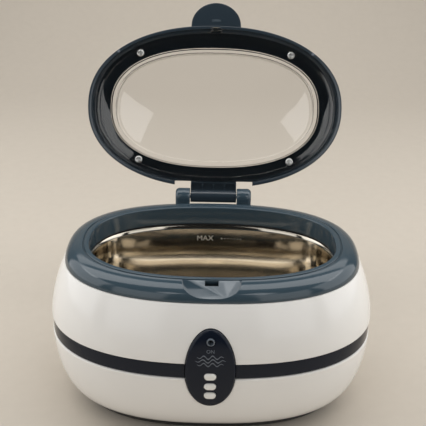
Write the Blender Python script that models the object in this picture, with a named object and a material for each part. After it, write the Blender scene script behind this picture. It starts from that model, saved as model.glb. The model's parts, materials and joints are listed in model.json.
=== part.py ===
"""Bench-top ultrasonic cleaner for jewellery: oval two-part housing, drawn steel tank and a hinged lid.

The lid stands fully open. Metres, +Z up, front towards -Y, resting on Z = 0.
"""

import math

import bmesh
import bpy
from mathutils import Matrix, Vector

MM = 0.001
GAP = 0.3 * MM

# The body is a stack of ovals whose half width is their half length less one step.
BODY_SHIFT_Y = -24.5 * MM
OVAL_STEP = 30.66 * MM
OVAL_POWER = 2.42
OVAL_SIDES = 36
WALL = 2.4 * MM

WIDEST_Z = 61.6 * MM
WIDEST_HALF_X = 103.5 * MM
SKIRT_Z = 6.9 * MM
SKIRT_HALF_X = 80.0 * MM
SKIRT_POWER = 2.24
SHOULDER_Z = 99.9 * MM
SHOULDER_DROP = 10.0 * MM
SHOULDER_POWER = 1.91

# Profiles below are (half length, height) pairs in millimetres.
LOWER_HEIGHTS = (10.0, 10.8, 13.0, 17.0, 22.0, 30.0, 41.0, 53.6)
UPPER_HEIGHTS = (64.1, 73.0, 82.0, 91.0, 99.6)
BASE_FLOOR_Z = 6.7 * MM

# Lid, drawn closed about its hinge axis and then swung open.
HINGE_Y = 62.7 * MM
HINGE_Z = 111.0 * MM
LID_SWING = math.radians(115.6)
LID_HALF_X = 88.9 * MM
LID_STEP = 32.1 * MM
LID_STEP_TAPER = 0.05
LID_POWER = 2.2
LID_POWER_GAIN = 11.5
EAR_RADIUS = 5.7 * MM
EAR_INNER_X = 16.3 * MM
EAR_OUTER_X = 26.3 * MM
BARREL_RADIUS = 4.25 * MM
BARREL_HALF = 15.9 * MM
PIN_RADIUS = 1.5 * MM
PIN_BORE = 1.75 * MM
BORE_REACH = 40.0 * MM
ARM_RIB_PITCH = 7.7 * MM
TAB_HALF_X = 17.4
TAB_REACH = 16.2
LID_SCREW_X = 53.0 * MM
LID_SCREW_Y = 37.5 * MM

# Control panel and its keys.
PANEL_HALF_X = 15.0 * MM
PANEL_MIDDLE_Z = 59.5 * MM
PANEL_UP = 26.9 * MM
PANEL_DOWN = 26.6 * MM
PANEL_LIFT = 1.5 * MM
PANEL_WALL = 0.7 * MM
PANEL_SKIRT_Y = -62.5 * MM
PANEL_CUT_Y = -80.0 * MM
PANEL_HOLE_Y = -66.0 * MM
KEY_NAMES = ("on", "timer", "off")
KEY_HEIGHTS = (56.6 * MM, 49.4 * MM, 42.5 * MM)
KEY_HALF_X = 3.6 * MM
KEY_HALF_Z = 2.35 * MM
KEY_PROUD = 0.9 * MM
LAMP_Z = 79.2 * MM
BOARD_Y = -62.2 * MM
BOARD_THICK = 1.6 * MM

# Fixings and parts in the base.
FOOT_X = 46.0 * MM
FOOT_Y = 30.0 * MM
SCREW_X = 62.0 * MM
SCREW_Y = 22.0 * MM
CORNERS = ((-1, -1), (1, -1), (-1, 1), (1, 1))
INLET_Z = 40.0 * MM
DRIVER_Z = 14.3 * MM
DRIVER_X = (22.0 * MM, 56.0 * MM)
DRIVER_HALF_Y = 22.0 * MM
POST_XY = ((27.0 * MM, 17.0 * MM), (51.0 * MM, 17.0 * MM))


# ---------------------------------------------------------------- scene helpers
def clear_scene():
    for obj in list(bpy.data.objects):
        bpy.data.objects.remove(obj, do_unlink=True)


def linear(channel):
    return channel / 12.92 if channel <= 0.04045 else ((channel + 0.055) / 1.055) ** 2.4


def finish(name, colour, roughness, metallic=0.0, clear=0.0):
    material = bpy.data.materials.new(name)
    material.use_nodes = True
    shader = material.node_tree.nodes["Principled BSDF"]
    rgb = [linear(int(colour[k : k + 2], 16) / 255) for k in (0, 2, 4)]
    shader.inputs["Base Color"].default_value = (*rgb, 1.0)
    shader.inputs["Roughness"].default_value = roughness
    shader.inputs["Metallic"].default_value = metallic
    shader.inputs["Transmission Weight"].default_value = clear
    material.diffuse_color = (*rgb, 1.0)
    material.roughness = roughness
    material.metallic = metallic
    return material


def empty(name, place, parent=None, turn=0.0):
    pivot = bpy.data.objects.new(name, None)
    bpy.context.scene.collection.objects.link(pivot)
    pivot.parent = parent
    pivot.location = place
    pivot.rotation_euler = (turn, 0.0, 0.0)
    return pivot


def add(name, bm, material, parent):
    bmesh.ops.recalc_face_normals(bm, faces=bm.faces)
    mesh = bpy.data.meshes.new(name)
    bm.to_mesh(mesh)
    bm.free()
    mesh.materials.append(material)
    mesh.shade_smooth()
    mesh.set_sharp_from_angle(angle=math.radians(35))
    obj = bpy.data.objects.new(name, mesh)
    bpy.context.scene.collection.objects.link(obj)
    obj.parent = parent
    return obj


def helper(obj):
    obj.hide_render = True
    obj.display_type = "WIRE"
    return obj


def combine(target, other, operation):
    boolean = target.modifiers.new(other.name, "BOOLEAN")
    boolean.operation = operation
    boolean.solver = "EXACT"
    boolean.object = helper(other)


def cut(target, *cutters):
    for cutter in cutters:
        combine(target, cutter, "DIFFERENCE")


def join(target, *others):
    for other in others:
        combine(target, other, "UNION")


# ---------------------------------------------------------------- mesh helpers
def loft(rings, closed=False, fans=False):
    """Skin a row of rings. closed joins the last to the first; otherwise both ends are capped."""
    bm = bmesh.new()
    rows = [[bm.verts.new(point) for point in ring] for ring in rings]
    pairs = list(zip(rows, rows[1:]))
    if closed:
        pairs.append((rows[-1], rows[0]))
    for low, high in pairs:
        for k in range(len(low)):
            after = (k + 1) % len(low)
            bm.faces.new((low[k], low[after], high[after], high[k]))
    if not closed:
        for row in (rows[0], rows[-1]):
            if fans:
                middle = bm.verts.new(sum((v.co for v in row), Vector()) / len(row))
                for k in range(len(row)):
                    bm.faces.new((row[k], row[(k + 1) % len(row)], middle))
            else:
                bm.faces.new(row)
    return bm


def cylinder(radius, start, end, sides=16, end_radius=None):
    """A round bar, or a cone when end_radius is given, between two points."""
    start = Vector(start)
    along = Vector(end) - start
    turn = along.to_track_quat("Z", "Y").to_matrix().to_4x4()
    place = Matrix.Translation(start + along / 2) @ turn
    bm = bmesh.new()
    bmesh.ops.create_cone(
        bm,
        cap_ends=True,
        segments=sides,
        radius1=radius,
        radius2=radius if end_radius is None else end_radius,
        depth=along.length,
        matrix=place,
    )
    return bm


def box(low, high):
    low = Vector(low)
    size = Vector(high) - low
    bm = bmesh.new()
    place = Matrix.Translation(low + size / 2) @ Matrix.Diagonal((*size, 1.0))
    bmesh.ops.create_cube(bm, size=1.0, matrix=place)
    return bm


def box_mm(low, high):
    return box([value * MM for value in low], [value * MM for value in high])


def corner_tag(side_x, side_y):
    return f"{'right' if side_x > 0 else 'left'}_{'rear' if side_y > 0 else 'front'}"


def facing_front(bm, height):
    """Lays a piece turned about Z along the front-to-back axis at a height."""
    turn = Matrix(((1, 0, 0, 0), (0, 0, 1, 0), (0, -1, 0, height), (0, 0, 0, 1)))
    bmesh.ops.transform(bm, matrix=turn, verts=bm.verts)
    return bm


def turned(profile, sides, axis_x=0.0, axis_y=0.0, closed=False):
    """Rings of a turned piece about a vertical axis, from (radius, height) pairs in millimetres."""
    rings = []
    for radius, height in profile:
        ring = []
        for k in range(sides):
            turn = 2 * math.pi * k / sides
            across = radius * MM * math.cos(turn)
            deep = radius * MM * math.sin(turn)
            ring.append(Vector((axis_x + across, axis_y + deep, height * MM)))
        rings.append(ring)
    return loft(rings, closed=closed)


def power_oval(half_x, half_y, power, count=OVAL_SIDES):
    points = []
    for k in range(count):
        turn = 2 * math.pi * k / count
        across = math.copysign(abs(math.cos(turn)) ** (2 / power), math.cos(turn))
        deep = math.copysign(abs(math.sin(turn)) ** (2 / power), math.sin(turn))
        points.append((half_x * across, half_y * deep))
    return points


def body_ring(half_x, z):
    return [Vector((x, y, z)) for x, y in power_oval(half_x, half_x - OVAL_STEP, OVAL_POWER)]


def body_rings(profile):
    return [body_ring(half_x * MM, z * MM) for half_x, z in profile]


def lid_ring(half_x, z, scale=1.0):
    """Oval of the closed lid about the hinge axis; the windowed middle is a scaled one."""
    inward = LID_HALF_X - half_x
    half_y = half_x - LID_STEP + LID_STEP_TAPER * inward
    power = LID_POWER + inward * LID_POWER_GAIN
    points = power_oval(half_x * scale, half_y * scale, power)
    return [Vector((x, y - HINGE_Y, z)) for x, y in points]


def lid_rings(profile):
    return [lid_ring(half_x * MM, z * MM) for half_x, z in profile]


def pill(half_x, half_z, y, height, count=16):
    """Upright stadium outline facing the front."""
    points = []
    for k in range(count):
        turn = 2 * math.pi * (k + 0.5) / count
        shift = math.copysign(half_x - half_z, math.cos(turn))
        x = shift + half_z * math.cos(turn)
        points.append(Vector((x, y, height + half_z * math.sin(turn))))
    return points


# ---------------------------------------------------------------- body surface
def half_length(z):
    """Half length of the white body at a height."""
    if z <= WIDEST_Z:
        depth = min((WIDEST_Z - z) / (WIDEST_Z - SKIRT_Z), 1.0)
        swell = (1 - depth**SKIRT_POWER) ** (1 / SKIRT_POWER)
        return SKIRT_HALF_X + (WIDEST_HALF_X - SKIRT_HALF_X) * swell
    rise = (z - WIDEST_Z) / (SHOULDER_Z - WIDEST_Z)
    return WIDEST_HALF_X - SHOULDER_DROP * rise**SHOULDER_POWER


def front_y(x, z, lift=0.0):
    """Y of the front surface at (x, z), moved outwards by lift."""
    half_x = half_length(z)
    share = 1 - (abs(x) / half_x) ** OVAL_POWER
    return -((half_x - OVAL_STEP) * share ** (1 / OVAL_POWER) + lift)


def inset(profile, distance):
    """The wall's inner line: each point moved square to the outer line."""
    inner = []
    for k, (half_x, z) in enumerate(profile):
        before = profile[max(k - 1, 0)]
        after = profile[min(k + 1, len(profile) - 1)]
        run = Vector((after[0] - before[0], after[1] - before[1])).normalized()
        inner.append((half_x - run.y * distance, z + run.x * distance))
    return inner


def egg(scale, grow=0.0, count=28):
    """Outline of the control panel as (x, z) points."""
    points = []
    for k in range(count):
        turn = 2 * math.pi * k / count
        half_z = PANEL_UP if math.cos(turn) > 0 else PANEL_DOWN
        x = (PANEL_HALF_X * scale + grow) * math.sin(turn)
        points.append((x, PANEL_MIDDLE_Z + (half_z * scale + grow) * math.cos(turn)))
    return points


def egg_cutter(name, material, parent):
    edge = egg(1.0, 0.35 * MM)
    rings = [[Vector((x, y, z)) for x, z in edge] for y in (PANEL_CUT_Y, -60 * MM)]
    return add(name, loft(rings), material, parent)


# ---------------------------------------------------------------- housings
def make_lower_housing(white, parent):
    outer = [(half_length(z * MM) / MM, z) for z in LOWER_HEIGHTS]
    outer[0] = (outer[0][0] - 1.0, outer[0][1])
    inner = [point for point in inset(outer, WALL / MM) if point[1] > 12.5]
    inner[-1] = (inner[-1][0], LOWER_HEIGHTS[-1])
    ledge = [(66.0, 12.4), (66.0, LOWER_HEIGHTS[0])]
    rings = body_rings(outer + inner[::-1] + ledge)
    housing = add("lower_housing", loft(rings, closed=True), white, parent)
    for side_x, side_y in CORNERS:
        x, y = side_x * SCREW_X, side_y * SCREW_Y
        tag = corner_tag(side_x, side_y)
        boss = cylinder(4.0 * MM, (x, y, BASE_FLOOR_Z + GAP), (x, y, 24.0 * MM), 12)
        join(housing, add(f"boss_{tag}", boss, white, parent))
        bore = cylinder(1.8 * MM, (x, y, 5.0 * MM), (x, y, 21.0 * MM), 10)
        cut(housing, add(f"boss_bore_{tag}", bore, white, parent))
    cut(housing, egg_cutter("lower_egg", white, parent))
    mouth = [pill(11.35 * MM, 7.85 * MM, y * MM, INLET_Z) for y in (60.0, 80.0)]
    cut(housing, add("inlet_hole", loft(mouth), white, parent))


def make_upper_housing(white, parent):
    outer = [(half_length(z * MM) / MM, z) for z in UPPER_HEIGHTS]
    inner = inset(outer, WALL / MM)
    inner[0] = (inner[0][0], UPPER_HEIGHTS[0])
    inner[-1] = (inner[-1][0], UPPER_HEIGHTS[-1])
    rings = body_rings(outer + inner[::-1])
    housing = add("upper_housing", loft(rings, closed=True), white, parent)
    cut(housing, egg_cutter("upper_egg", white, parent))


def make_band(dark, parent):
    face = [(102.3, 54.0), (102.9, 54.5), (102.9, 63.2), (102.3, 63.7)]
    tongue_up = [(100.5, 63.7), (100.5, 67.0), (98.7, 67.0)]
    tongue_down = [(98.7, 50.6), (100.5, 50.6), (100.5, 54.0)]
    tongue = tongue_up + tongue_down
    band = add("band_ring", loft(body_rings(face + tongue), closed=True), dark, parent)
    cut(band, egg_cutter("band_egg", dark, parent))


def make_base(dark, rubber, steel, parent):
    floor = BASE_FLOOR_Z / MM
    outside = [(81.8, 3.0), (84.0, 3.7), (85.6, 5.6), (86.6, 9.7)]
    inside = [(81.0, 9.7), (81.0, floor)]
    base = add("base_plate", loft(body_rings(outside + inside)), dark, parent)
    for k in range(4):
        for side in (-1, 1):
            x = side * (12.0 + 5.0 * k) * MM
            slot = box((x - 1.2 * MM, -34.0 * MM, 0), (x + 1.2 * MM, -20.0 * MM, 10 * MM))
            cut(base, add(f"vent_{side}_{k}", slot, dark, parent))
    for x, y in POST_XY:
        for side in (-1, 1):
            top = (x, side * y, DRIVER_Z - GAP)
            post = cylinder(2.6 * MM, (x, side * y, 5.0 * MM), top, 12)
            join(base, add(f"post_{x / MM:.0f}_{side}", post, dark, parent))
    for side_x, side_y in CORNERS:
        tag = corner_tag(side_x, side_y)
        x, y = side_x * FOOT_X, side_y * FOOT_Y
        hole = cylinder(2.5 * MM, (x, y, 0), (x, y, 10 * MM), 12)
        cut(base, add(f"foot_hole_{tag}", hole, dark, parent))
        foot = [(5.3, 0.0), (6.3, 0.9), (6.5, 2.7), (2.2, 2.7), (2.2, 6.4)]
        add(f"foot_{tag}", turned(foot, 16, x, y), rubber, parent)
        x, y = side_x * SCREW_X, side_y * SCREW_Y
        pocket = turned([(3.9, 0.0), (3.9, 4.9), (1.8, 4.9), (1.8, 10.0)], 12, x, y)
        cut(base, add(f"screw_hole_{tag}", pocket, dark, parent))
        screw = [(3.4, 3.3), (3.4, 4.6), (1.5, 4.6), (1.5, 19.0), (0.5, 20.4)]
        add(f"case_screw_{tag}", turned(screw, 10, x, y), steel, parent)


def make_tank(steel, rubber, parent):
    inner = [(62.0, 43.5), (72.0, 45.6), (76.3, 51.5)]
    rim = [(77.5, 93.0), (78.6, 95.5), (81.2, 95.5), (81.2, 94.7), (79.1, 94.7)]
    outer = [(78.4, 93.0), (77.1, 51.3), (72.5, 44.9), (62.0, 42.7)]
    add("tank", loft(body_rings(inner + rim + outer)), steel, parent)
    seal = [(79.0, 95.8), (80.8, 95.8), (80.8, 96.7), (79.0, 96.7)]
    add("tank_gasket", loft(body_rings(seal), closed=True), rubber, parent)


def ear_outline(x, radius):
    """Side outline of a hinge ear: a foot in the collar's slope and a round top about the pin."""
    points = []
    steps = 9
    for k in range(steps + 1):
        turn = math.radians(190) * (1 - k / steps) - math.radians(10)
        y = HINGE_Y + radius * math.cos(turn)
        points.append(Vector((x, y, HINGE_Z + radius * math.sin(turn))))
    foot = ((66.0, 103.5), (62.9, 100.15), (61.0, 100.15), (57.0, 102.2))
    return points + [Vector((x, y * MM, z * MM)) for y, z in foot]


def make_collar(slate, parent):
    slope = [(93.5, 99.9), (92.7, 103.2), (90.8, 106.3), (88.0, 108.2), (84.5, 109.2)]
    lip = [(78.3, 109.3), (78.3, 97.0), (80.4, 97.0)]
    plateau = [(80.4, 106.6), (86.4, 105.9), (89.2, 103.4), (88.3, 100.6)]
    spigot = [(88.3, 94.0), (90.2, 94.0), (90.2, 99.9)]
    rings = body_rings(slope + lip + plateau + spigot)
    collar = add("collar", loft(rings, closed=True), slate, parent)
    for side in (-1, 1):
        inner, outer = side * EAR_INNER_X, side * EAR_OUTER_X
        corner = side * (EAR_OUTER_X - 0.9 * MM)
        round_off = side * (EAR_OUTER_X - 2.6 * MM)
        rings = [
            ear_outline(inner, EAR_RADIUS),
            ear_outline(round_off, EAR_RADIUS),
            ear_outline(corner, EAR_RADIUS - 0.7 * MM),
            ear_outline(outer, EAR_RADIUS - 1.9 * MM),
        ]
        join(collar, add(f"ear_{side}", loft(rings), slate, parent))
    start, end = (-BORE_REACH, HINGE_Y, HINGE_Z), (BORE_REACH, HINGE_Y, HINGE_Z)
    cut(collar, add("pin_bore", cylinder(PIN_BORE, start, end, 24), slate, parent))
    cut(collar, add("latch_recess", latch_recess(), slate, parent))
    slot = box((-4.0 * MM, -54.6 * MM, 96 * MM), (4.0 * MM, -51.0 * MM, 120 * MM))
    cut(collar, add("latch_slot", slot, slate, parent))


def latch_recess():
    """Shallow bowl-shaped pocket for the lid's tab, sloping up from the shoulder to the slot."""
    low = Vector((0, -62.4 * MM, 101.4 * MM))
    up = (Vector((0, -51.2 * MM, 108.3 * MM)) - low).normalized()
    out = Vector((0, -up.z, up.y))
    half_outline = [(17.6, 13.4), (17.5, 8.5), (16.2, 4.6), (13.6, 2.0), (10.6, 1.0)]
    outline = half_outline + [(-x, w) for x, w in half_outline[::-1]]
    rings = []
    for lift in (0.6 * MM, 9.0 * MM):
        base = low + out * lift
        rings.append([base + up * w * MM + Vector((x * MM, 0, 0)) for x, w in outline])
    return loft(rings)


# ---------------------------------------------------------------- lid
def make_lid(slate, clear, steel, rubber, lid):
    shell = [(86.3, -0.4), (88.9, -0.4), (88.9, 3.6), (88.0, 5.6), (85.5, 6.8)]
    top = [(80.0, 8.0), (73.6, 8.5), (73.6, 5.0), (84.4, 5.0), (86.3, 3.4)]
    frame = add("lid_frame", loft(lid_rings(shell + top), closed=True), slate, lid)
    join(frame, add("finger_tab", finger_tab(), slate, lid))
    low, high = (-BARREL_HALF, -9.6 * MM, 0.0), (BARREL_HALF, -1.5 * MM, 5.0 * MM)
    join(frame, add("hinge_arm", box(low, high), slate, lid))
    for k in range(-2, 2):
        left = max(k * ARM_RIB_PITCH, -BARREL_HALF) + 0.5 * MM
        right = min((k + 1) * ARM_RIB_PITCH, BARREL_HALF) - 0.5 * MM
        pocket = box((left, -9.1 * MM, -5.0 * MM), (right, -4.6 * MM, 2.0 * MM))
        cut(frame, add(f"arm_pocket_{k}", pocket, slate, lid))
    barrel = cylinder(BARREL_RADIUS, (-BARREL_HALF, 0, 0), (BARREL_HALF, 0, 0), 24)
    join(frame, add("hinge_barrel", barrel, slate, lid))
    for side in (-1, 1):
        near, far = sorted((side * 15.9 * MM, side * 27.2 * MM))
        notch = box((near, -10.7 * MM, -20 * MM), (far, 20 * MM, 20 * MM))
        cut(frame, add(f"ear_notch_{side}", notch, slate, lid))
    bore = cylinder(PIN_BORE, (-BORE_REACH, 0, 0), (BORE_REACH, 0, 0), 24)
    cut(frame, add("barrel_bore", bore, slate, lid))
    window = make_window(clear, lid)
    make_lid_screws(frame, window, steel, slate, lid)
    for side, tag in ((-1, "left"), (1, "right")):
        x, y = side * 67.9 * MM, -37.6 * MM - HINGE_Y
        bumper = turned([(0.5, -1.5), (1.0, -1.1), (1.0, -0.7)], 12, x, y)
        add(f"lid_bumper_{tag}", bumper, rubber, lid)


def finger_tab():
    rim_y = -HINGE_Y - (LID_HALF_X - LID_STEP)
    root_y = rim_y + 1.5 * MM
    rings = []
    for z, shrink in ((0.2, 0.7), (0.8, 0.0), (3.0, 0.0), (3.6, 0.9)):
        half_x = (TAB_HALF_X - shrink) * MM
        reach = (TAB_REACH - shrink) * MM
        ring = [Vector((half_x, root_y, z * MM))]
        for k in range(19):
            turn = math.pi * k / 18
            ring.append(Vector((half_x * math.cos(turn), rim_y - reach * math.sin(turn), z * MM)))
        ring.append(Vector((-half_x, root_y, z * MM)))
        rings.append(ring)
    return loft(rings)


def make_window(clear, lid):
    """Clear cover: a near-flat pane, a wall up through the frame and a flange below it."""
    pane_in = [lid_ring(68.8 * MM, z * MM, scale) for z, scale in ((9.3, 0.4), (9.0, 0.93))]
    wall = [(69.5, 6.6), (69.6, 2.9), (83.6, 2.9), (83.6, 4.7), (73.1, 4.7), (73.1, 8.0)]
    outer = ((10.0, 0.97), (10.9, 0.85), (11.3, 0.4))
    pane_out = [lid_ring(72.6 * MM, z * MM, scale) for z, scale in outer]
    rings = pane_in + lid_rings(wall) + pane_out
    window = add("lid_window", loft(rings, fans=True), clear, lid)
    edge = -HINGE_Y
    low, high = (-5.0 * MM, edge - 53.3 * MM, 2.6 * MM), (5.0 * MM, edge - 49.4 * MM, 3.8 * MM)
    join(window, add("hook_plate", box(low, high), clear, lid))
    side = [(-51.5, 3.4), (-53.3, 3.4), (-53.3, -6.2), (-54.0, -7.0), (-53.2, -7.8), (-51.5, -7.8)]
    blade = [[Vector((x * MM, edge + y * MM, z * MM)) for y, z in side] for x in (-3.5, 3.5)]
    join(window, add("hook_blade", loft(blade), clear, lid))
    return window


def make_lid_screws(frame, window, steel, slate, lid):
    for side_x, side_y in CORNERS:
        tag = corner_tag(side_x, side_y)
        x, y = side_x * LID_SCREW_X, side_y * LID_SCREW_Y - HINGE_Y
        pocket = turned([(3.0, 1.0), (3.0, 3.9), (1.5, 3.9), (1.5, 6.9)], 12, x, y)
        cutter = add(f"lid_pocket_{tag}", pocket, slate, lid)
        cut(frame, cutter)
        cut(window, cutter)
        screw = [(2.2, 2.5), (2.6, 2.9), (2.6, 3.6), (1.2, 3.6), (1.2, 6.5)]
        add(f"lid_screw_{tag}", turned(screw, 10, x, y), steel, lid)


def make_hinge_pin(steel, parent):
    reach = EAR_OUTER_X - 0.6 * MM
    pin = cylinder(PIN_RADIUS, (-reach, HINGE_Y, HINGE_Z), (reach, HINGE_Y, HINGE_Z), 16)
    add("hinge_pin", pin, steel, parent)


# ---------------------------------------------------------------- control panel
def panel_ring(scale, lift):
    return [Vector((x, front_y(x, z, lift), z)) for x, z in egg(scale)]


def behind_panel(height, reach):
    """Y just behind the panel's wall for a flange that spans height plus or minus reach."""
    edges = [front_y(0, height + side * reach, -PANEL_WALL) for side in (-1, 1)]
    return max(edges) + GAP + 0.1 * MM


def make_panel(gloss, parent):
    flat = [[Vector((x, PANEL_SKIRT_Y, z)) for x, z in egg(scale)] for scale in (1.0, 0.9)]
    front = ((0.25, 1.5), (0.6, 1.5), (0.92, 1.45))
    rings = [panel_ring(scale, lift * MM) for scale, lift in front]
    rings += [panel_ring(1.0, 0.6 * MM), *flat]
    rings += [panel_ring(scale, -PANEL_WALL) for scale in (0.9, 0.6, 0.25)]
    panel = add("panel_cover", loft(rings, fans=True), gloss, parent)
    for name, height in zip(KEY_NAMES, KEY_HEIGHTS):
        ends = (PANEL_CUT_Y, PANEL_HOLE_Y)
        hole = [pill(KEY_HALF_X + GAP, KEY_HALF_Z + GAP, y, height) for y in ends]
        cut(panel, add(f"key_hole_{name}", loft(hole), gloss, parent))
    hole = cylinder(2.8 * MM, (0, PANEL_CUT_Y, LAMP_Z), (0, PANEL_HOLE_Y, LAMP_Z), 24)
    cut(panel, add("lamp_hole", hole, gloss, parent))


def make_keys(white, dark, metal, parent):
    for name, height in zip(KEY_NAMES, KEY_HEIGHTS):
        face = front_y(0, height, PANEL_LIFT + KEY_PROUD)
        flange = behind_panel(height, 3.1 * MM)
        pivot = empty(f"key_{name}_axis", (0, face, height), parent)
        front = [(0.55, 0.45, 0.0), (0.88, 0.82, 0.1), (1.0, 1.0, 0.55)]
        rings = [pill(KEY_HALF_X * sx, KEY_HALF_Z * sz, y * MM, 0) for sx, sz, y in front]
        back = flange - face
        rings += [pill(KEY_HALF_X, KEY_HALF_Z, back, 0), pill(4.6 * MM, 3.1 * MM, back, 0)]
        behind = back + 0.8 * MM
        neck = 1.6 * MM
        rings += [pill(4.6 * MM, 3.1 * MM, behind, 0), pill(neck, neck, behind, 0)]
        rings.append(pill(neck, neck, -69.6 * MM - face, 0))
        add(f"key_{name}", loft(rings), white, pivot)
        stem = cylinder(1.35 * MM, (0, -69.3 * MM - face, 0), (0, -65.6 * MM - face, 0), 12)
        add(f"switch_plunger_{name}", stem, dark, pivot)
        low = (-3.0 * MM, -67.3 * MM, height - 3.0 * MM)
        high = (3.0 * MM, BOARD_Y - GAP, height + 3.0 * MM)
        switch = add(f"tact_switch_{name}", box(low, high), metal, parent)
        well = cylinder(1.65 * MM, (0, -70 * MM, height), (0, -64.2 * MM, height), 12)
        cut(switch, add(f"plunger_well_{name}", well, metal, parent))


def make_indicator(lens, lamp, parent):
    front = front_y(0, LAMP_Z, PANEL_LIFT + 0.35 * MM) / MM
    back = behind_panel(LAMP_Z, 3.4 * MM) / MM
    profile = [(1.25, front + 0.4), (1.6, front), (2.2, front), (2.5, front + 0.4), (2.5, back)]
    profile += [(3.4, back), (3.4, back + 0.8), (1.25, back + 0.8)]
    ring = facing_front(turned(profile, 18, closed=True), LAMP_Z)
    add("indicator_lens", ring, lens, parent)
    tip = back + 1.1
    bulb = [(0.6, tip), (1.2, tip + 0.3), (1.5, tip + 1.0), (1.5, (BOARD_Y - GAP) / MM)]
    add("indicator_led", facing_front(turned(bulb, 12), LAMP_Z), lamp, parent)


def make_control_board(green, parent):
    low = (-11.0 * MM, BOARD_Y, 37.5 * MM)
    high = (11.0 * MM, BOARD_Y + BOARD_THICK, 83.0 * MM)
    add("control_board", box(low, high), green, parent)


# ---------------------------------------------------------------- transducer
def make_transducer(alloy, ceramic, brass, steel, parent):
    front = [(14.5, 30.4), (15.0, 32.0), (19.0, 38.0), (20.0, 39.0), (20.0, 42.4)]
    mass = add("front_mass", turned(front, 20), alloy, parent)
    bore = cylinder(3.3 * MM, (0, 0, 20 * MM), (0, 0, 37 * MM), 16)
    cut(mass, add("front_mass_bore", bore, alloy, parent))
    for name, low, high in (("piezo_ring_upper", 25.6, 30.1), ("piezo_ring_lower", 20.1, 24.6)):
        ring = [(15.0, low), (15.0, high), (5.5, high), (5.5, low)]
        add(name, turned(ring, 20, closed=True), ceramic, parent)
    low, high = 24.9, 25.3
    plate = add("electrode_plate", turned([(15.2, low), (15.2, high)], 20), brass, parent)
    lug = box_mm((14.0, -2.5, low), (19.5, 2.5, high))
    join(plate, add("electrode_lug", lug, brass, parent))
    bore = cylinder(5.0 * MM, (0, 0, 20 * MM), (0, 0, 30 * MM), 20)
    cut(plate, add("electrode_bore", bore, brass, parent))
    tail = [(14.2, 10.8), (15.0, 11.6), (15.0, 19.8), (3.4, 19.8), (3.4, 10.8)]
    add("tail_mass", turned(tail, 20, closed=True), steel, parent)
    bolt = [(4.2, 7.6), (4.6, 8.2), (4.6, 10.5), (3.0, 10.5), (3.0, 36.4)]
    add("clamping_bolt", turned(bolt, 12), steel, parent)


# ---------------------------------------------------------------- electronics
def make_driver(green, core, copper, alloy, black, can, film, glass, parent):
    low = (DRIVER_X[0], -DRIVER_HALF_Y, DRIVER_Z)
    high = (DRIVER_X[1], DRIVER_HALF_Y, DRIVER_Z + BOARD_THICK)
    add("driver_board", box(low, high), green, parent)
    top = (DRIVER_Z + BOARD_THICK + GAP) / MM
    yoke = add("transformer_core", box_mm((26, -19, top), (46, -5, top + 18)), core, parent)
    for k, x in enumerate((29.5, 38.5)):
        window = box_mm((x, -30, top + 4), (x + 4, 5, top + 14))
        cut(yoke, add(f"core_window_{k}", window, core, parent))
    wound = box_mm((30.2, -22.0, top + 4.3), (41.8, -2.0, top + 13.7))
    coil = add("transformer_winding", wound, copper, parent)
    middle = box_mm((33.2, -19.3, top), (38.8, -4.7, top + 18))
    cut(coil, add("winding_hole", middle, copper, parent))
    sink = add("heat_sink", box_mm((50, -16, top), (54, 16, top + 20)), alloy, parent)
    for k in range(4):
        y = -12.5 + 7.0 * k
        fin = box_mm((51.6, y, top - 1), (56, y + 3, top + 21))
        cut(sink, add(f"fin_gap_{k}", fin, alloy, parent))
    add("power_transistor", box_mm((45.4, 2, top + 4), (49.7, 12, top + 19)), black, parent)
    sleeve = [(6.0, top), (6.3, top + 0.5), (6.3, top + 21.5), (5.9, top + 22)]
    add("bulk_capacitor", turned(sleeve, 24, 31.5 * MM, 12 * MM), can, parent)
    add("film_capacitor", box_mm((26, -1.6, top), (43, 4.4, top + 11)), film, parent)
    x, z = 40.8 * MM, 19.2 * MM
    add("fuse", cylinder(2.5 * MM, (x, 19 * MM, z), (x, 7 * MM, z), 14), glass, parent)


def make_inlet(black, plated, parent):
    face = [(0.94, 73.9), (1.0, 73.2), (1.0, 66.1)]
    clip = [(1.14, 66.1), (1.14, 64.4), (1.0, 64.4), (1.0, 57.0)]
    rings = [pill(11.0 * MM * s, 7.5 * MM * s, y * MM, INLET_Z) for s, y in face + clip]
    inlet = add("inlet_housing", loft(rings), black, parent)
    well = [pill(8.0 * MM, 3.9 * MM, y * MM, INLET_Z) for y in (90.0, 61.0)]
    cut(inlet, add("inlet_well", loft(well), black, parent))
    for side, tag in ((-1, "left"), (1, "right")):
        x = side * 4.35 * MM
        hole = cylinder(1.5 * MM, (x, 50 * MM, INLET_Z), (x, 80 * MM, INLET_Z), 14)
        cut(inlet, add(f"inlet_pin_hole_{tag}", hole, black, parent))
        pin = cylinder(1.2 * MM, (x, 55.0 * MM, INLET_Z), (x, 71.5 * MM, INLET_Z), 14)
        add(f"inlet_pin_{tag}", pin, plated, parent)


def make_lead(name, points, radius, material, parent):
    """An insulated lead as a tube along a smooth line through the given points."""
    guide = [Vector(point) * MM for point in points]
    path = []
    steps = 3
    for k in range(len(guide) - 1):
        before = guide[max(k - 1, 0)]
        start, end = guide[k], guide[k + 1]
        after = guide[min(k + 2, len(guide) - 1)]
        for j in range(steps):
            t = j / steps
            path.append(
                0.5
                * (
                    2 * start
                    + (end - before) * t
                    + (2 * before - 5 * start + 4 * end - after) * t**2
                    + (3 * start - before - 3 * end + after) * t**3
                )
            )
    path.append(guide[-1])
    curve = bpy.data.curves.new(name, "CURVE")
    curve.dimensions = "3D"
    curve.bevel_depth = radius * MM
    curve.bevel_resolution = 2
    curve.use_fill_caps = True
    spline = curve.splines.new("POLY")
    spline.points.add(len(path) - 1)
    for point, place in zip(spline.points, path):
        point.co = (*place, 1.0)
    curve.materials.append(material)
    lead = bpy.data.objects.new(name, curve)
    bpy.context.scene.collection.objects.link(lead)
    lead.parent = parent


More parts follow.
